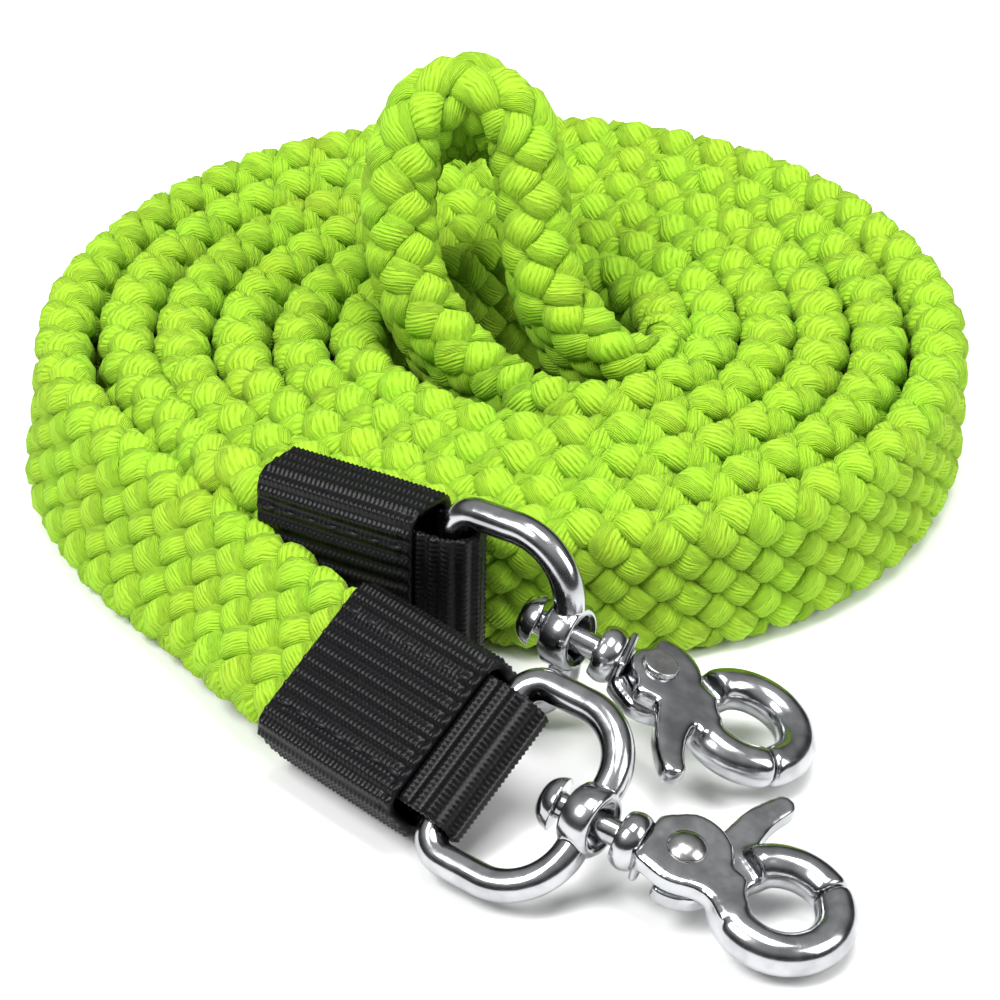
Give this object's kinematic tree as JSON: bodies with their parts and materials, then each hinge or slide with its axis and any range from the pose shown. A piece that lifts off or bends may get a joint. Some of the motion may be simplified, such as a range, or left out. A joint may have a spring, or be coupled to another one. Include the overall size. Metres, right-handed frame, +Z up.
{
  "type": "lead rope",
  "caption": "Flat braided lead rope laid in a doubled spiral coil, its bight standing up, with a sewn webbing end, D-ring and swivelling trigger snap at each tail.",
  "frame": {"origin": "centre of the coil, on the surface the rope lies on", "axes": "+Z up along the coil's axis; the two sewn ends leave the coil on its -Y side and point towards +X"},
  "size_m": [0.1524, 0.2169, 0.073],
  "materials": {
    "braid": "matt lime flat braid",
    "webbing": "matt black ribbed webbing",
    "stitching": "black bonded thread",
    "chrome": "polished nickel-plated casting",
    "rivet": "polished steel rivet",
    "spring_wire": "bright spring wire"
  },
  "bodies": {
    "rope": {"rope_coil": "braid", "rope_bight": "braid", "rope_lead_front": "braid", "rope_lead_rear": "braid", "webbing_cuff_front": "webbing", "webbing_loop_front": "webbing", "cuff_stitching_front": "stitching", "webbing_cuff_rear": "webbing", "webbing_loop_rear": "webbing", "cuff_stitching_rear": "stitching"},
    "d_ring_front": {"d_ring_front": "chrome"},
    "snap_front": {"swivel_stem_front": "chrome", "fixed_jaw_front": "chrome", "jaw_rivet_front": "rivet", "jaw_spring_front": "spring_wire"},
    "trigger_front": {"moving_jaw_front": "chrome"},
    "d_ring_rear": {"d_ring_rear": "chrome"},
    "snap_rear": {"swivel_stem_rear": "chrome", "fixed_jaw_rear": "chrome", "jaw_rivet_rear": "rivet", "jaw_spring_rear": "spring_wire"},
    "trigger_rear": {"moving_jaw_rear": "chrome"}
  },
  "joints": [
    {"name": "ring_pivot_front", "type": "hinge", "parent": "rope", "child": "d_ring_front", "pos_m": [-0.00832, -0.10518, 0.0133], "axis": [0.593, 0.593, 0.5446], "range_deg": [-75, 0]},
    {"name": "snap_swivel_front", "type": "hinge", "parent": "d_ring_front", "child": "snap_front", "pos_m": [0.00792, -0.11766, 0.01248], "axis": [0.8758, -0.4271, -0.225], "continuous": true},
    {"name": "trigger_front", "type": "hinge", "parent": "snap_front", "child": "trigger_front", "pos_m": [0.02116, -0.12301, 0.00928], "axis": [0.1632, -0.1766, 0.9707], "range_deg": [0, 13], "stiffness_Nm_per_rad": 0.05, "springref_deg": -20.05},
    {"name": "ring_pivot_rear", "type": "hinge", "parent": "rope", "child": "d_ring_rear", "pos_m": [-0.01206, -0.06911, 0.01782], "axis": [0.0186, 0.1116, 0.9936], "range_deg": [-8, 0]},
    {"name": "snap_swivel_rear", "type": "hinge", "parent": "d_ring_rear", "child": "snap_rear", "pos_m": [0.00527, -0.08005, 0.01782], "axis": [0.8986, -0.2747, -0.342], "continuous": true},
    {"name": "trigger_rear", "type": "hinge", "parent": "snap_rear", "child": "trigger_rear", "pos_m": [0.0181, -0.08502, 0.01283], "axis": [-0.3271, 0.1, -0.9397], "range_deg": [0, 13], "stiffness_Nm_per_rad": 0.05, "springref_deg": -20.05}
  ]
}
